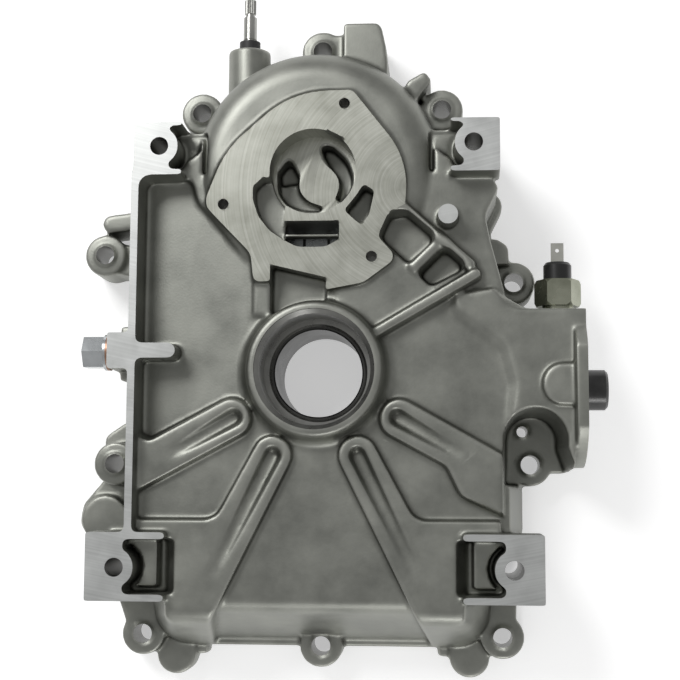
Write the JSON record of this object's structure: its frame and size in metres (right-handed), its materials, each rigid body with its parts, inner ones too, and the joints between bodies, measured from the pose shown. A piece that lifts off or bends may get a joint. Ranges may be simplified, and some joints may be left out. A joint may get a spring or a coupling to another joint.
{
  "type": "crankcase cover",
  "caption": "Cast crankcase end cover with a main bearing, oil pump pocket, governor, relief valve, filter nipple and pressure switch.",
  "frame": {"origin": "crank axis on the gasket face", "axes": "+Z out of the engine along the crank axis, +Y from the crank towards the oil pump, +X towards the oil filter"},
  "size_m": [0.2532, 0.3299, 0.065],
  "materials": {
    "cast_aluminium": "die cast, blasted, with machined faces",
    "bearing_metal": "bored steel-backed bearing",
    "ground_steel": "ground",
    "seal_rubber": "matt",
    "zinc_steel": "zinc plated",
    "spring_steel": "oiled",
    "natural_nylon": "moulded",
    "weight_zinc": "die cast zinc",
    "dark_steel": "phosphated",
    "black_plastic": "moulded",
    "tinned_brass": "tinned",
    "copper": "soft annealed",
    "steel_mesh": "woven wire"
  },
  "bodies": {
    "cover": {"cover_casting": "cast_aluminium", "main_bush": "bearing_metal", "governor_shaft_outer_bush": "bearing_metal", "governor_shaft_inner_bush": "bearing_metal", "governor_shaft_seal": "seal_rubber", "governor_shaft_washer": "zinc_steel", "governor_stub_shaft": "ground_steel", "governor_thrust_washer": "zinc_steel", "governor_clip": "spring_steel", "relief_cap": "zinc_steel", "relief_spring": "spring_steel", "filter_nipple": "dark_steel", "switch_body": "zinc_steel", "switch_insulator": "black_plastic", "switch_blade": "tinned_brass", "drain_washer": "copper", "drain_plug": "zinc_steel", "strainer_frame": "black_plastic", "strainer_mesh": "steel_mesh", "strainer_screws": "zinc_steel"},
    "cross_shaft": {"governor_shaft": "ground_steel", "governor_lever": "zinc_steel", "governor_shaft_clip": "spring_steel"},
    "gear": {"governor_gear": "natural_nylon", "flyweight_pins": "ground_steel"},
    "weight_rear": {"flyweight_rear": "weight_zinc"},
    "weight_front": {"flyweight_front": "weight_zinc"},
    "sleeve": {"governor_sleeve": "natural_nylon"},
    "plunger": {"relief_plunger": "ground_steel"}
  },
  "joints": [
    {"name": "cross_shaft_turn", "type": "hinge", "parent": "cover", "child": "cross_shaft", "pos_m": [-0.0364, 0.073, 0.026], "axis": [0, -1, 0], "range_deg": [0, 7]},
    {"name": "gear_spin", "type": "hinge", "parent": "cover", "child": "gear", "pos_m": [-0.0604, 0.073, 0.034], "axis": [0, 0, 1], "continuous": true},
    {"name": "sleeve_slide", "type": "slide", "parent": "gear", "child": "sleeve", "axis": [0, 0, -1], "range_m": [0, 0.0029]},
    {"name": "rear_weight_swing", "type": "hinge", "parent": "gear", "child": "weight_rear", "pos_m": [-0.0604, 0.083, 0.026], "axis": [1, 0, 0], "range_deg": [0, 35]},
    {"name": "front_weight_swing", "type": "hinge", "parent": "gear", "child": "weight_front", "pos_m": [-0.0604, 0.063, 0.026], "axis": [-1, 0, 0], "range_deg": [0, 35]},
    {"name": "relief_plunger_slide", "type": "slide", "parent": "cover", "child": "plunger", "axis": [0, 0, -1], "range_m": [0, 0.004], "stiffness_N_per_m": 1500, "springref_m": -0.003, "deforming": ["relief_spring"]}
  ],
  "couplings": [
    {"joint": "sleeve_slide", "follows": "cross_shaft_turn", "m_per_rad": 0.0237},
    {"joint": "rear_weight_swing", "follows": "cross_shaft_turn", "ratio": 4.99},
    {"joint": "front_weight_swing", "follows": "cross_shaft_turn", "ratio": 4.99}
  ]
}
